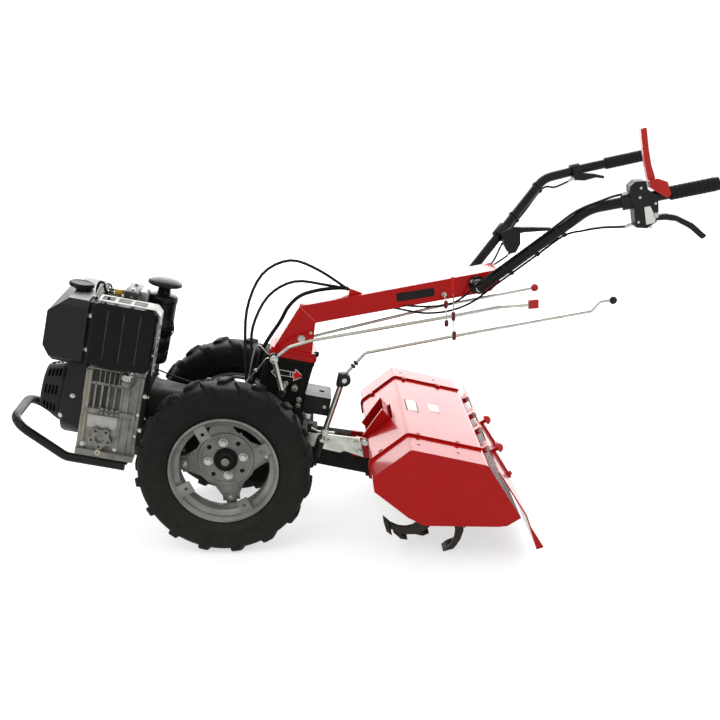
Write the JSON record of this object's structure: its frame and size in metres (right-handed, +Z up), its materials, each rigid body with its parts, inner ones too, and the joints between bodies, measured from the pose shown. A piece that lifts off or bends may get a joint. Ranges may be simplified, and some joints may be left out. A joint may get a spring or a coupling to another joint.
{
  "type": "walking tractor",
  "caption": "Walking tractor with a diesel engine ahead of the axle, a raised handlebar arm, lugged tyres and a hooded rotary tiller behind; wheels and rotor spin, the rear flap lifts.",
  "frame": {"origin": "on the ground, at the middle of the footprint, between the two tyres across the machine", "axes": "+X to the rear, towards the grips; +Y to the machine's right; +Z up"},
  "size_m": [2.0274, 0.8, 1.2587],
  "materials": {
    "red_paint": "gloss",
    "black_paint": "satin",
    "cast_grey": "as cast",
    "cast_dark": "painted casting",
    "black_plastic": "moulded",
    "red_plastic": "moulded",
    "yellow_plastic": "moulded",
    "zinc": "zinc plated",
    "rim_paint": "silver paint",
    "rubber": "ribbed",
    "tyre": "moulded",
    "soot_steel": "heat-resistant paint",
    "tine_steel": "dark forged"
  },
  "bodies": {
    "chassis": {"crankcase": "cast_grey", "cylinder_head": "cast_grey", "fan_shroud": "black_plastic", "recoil_cover": "black_plastic", "fuel_tank": "black_plastic", "fuel_cap": "black_plastic", "muffler": "soot_steel", "muffler_guard": "zinc", "air_filter": "black_plastic", "dipstick": "yellow_plastic", "front_bumper": "black_paint", "clutch_housing": "cast_dark", "gearbox": "cast_dark", "column_base": "cast_dark", "arm_socket": "red_paint", "handlebar_arm": "red_paint", "handlebar_clamp": "black_paint", "handlebar_left": "black_paint", "handlebar_right": "black_paint", "grip_left": "rubber", "grip_right": "rubber", "control_housing": "black_plastic", "safety_lever": "red_plastic", "clutch_lever": "black_plastic", "right_levers": "black_plastic", "speed_rod": "zinc", "reverse_rod": "zinc", "drive_linkage": "zinc", "control_knobs": "red_plastic", "rod_guides": "red_paint", "control_cables": "rubber", "tow_bracket": "black_paint", "hitch_plates": "zinc", "tiller_drive": "cast_dark", "tiller_case": "red_paint", "tiller_hood": "red_paint", "hood_side_left": "red_paint", "hood_side_right": "red_paint"},
    "wheel_left": {"tyre_left": "tyre", "rim_left": "rim_paint", "wheel_disc_left": "rim_paint", "hub_left": "cast_dark"},
    "wheel_right": {"tyre_right": "tyre", "rim_right": "rim_paint", "wheel_disc_right": "rim_paint", "hub_right": "cast_dark"},
    "rotor": {"tine_rotor": "tine_steel"},
    "flap": {"rear_flap": "red_paint", "flap_knobs": "red_plastic"}
  },
  "joints": [
    {"name": "wheel_left_spin", "type": "hinge", "parent": "chassis", "child": "wheel_left", "pos_m": [-0.35827, -0.225, 0.265], "axis": [0, 1, 0], "continuous": true},
    {"name": "wheel_right_spin", "type": "hinge", "parent": "chassis", "child": "wheel_right", "pos_m": [-0.35827, 0.225, 0.265], "axis": [0, 1, 0], "continuous": true},
    {"name": "rotor_spin", "type": "hinge", "parent": "chassis", "child": "rotor", "pos_m": [0.26501, 0, 0.1585], "axis": [0, 1, 0], "continuous": true},
    {"name": "flap_lift", "type": "hinge", "parent": "chassis", "child": "flap", "pos_m": [0.42613, 0, 0.30944], "axis": [0, -1, 0], "range_deg": [0, 70]}
  ]
}
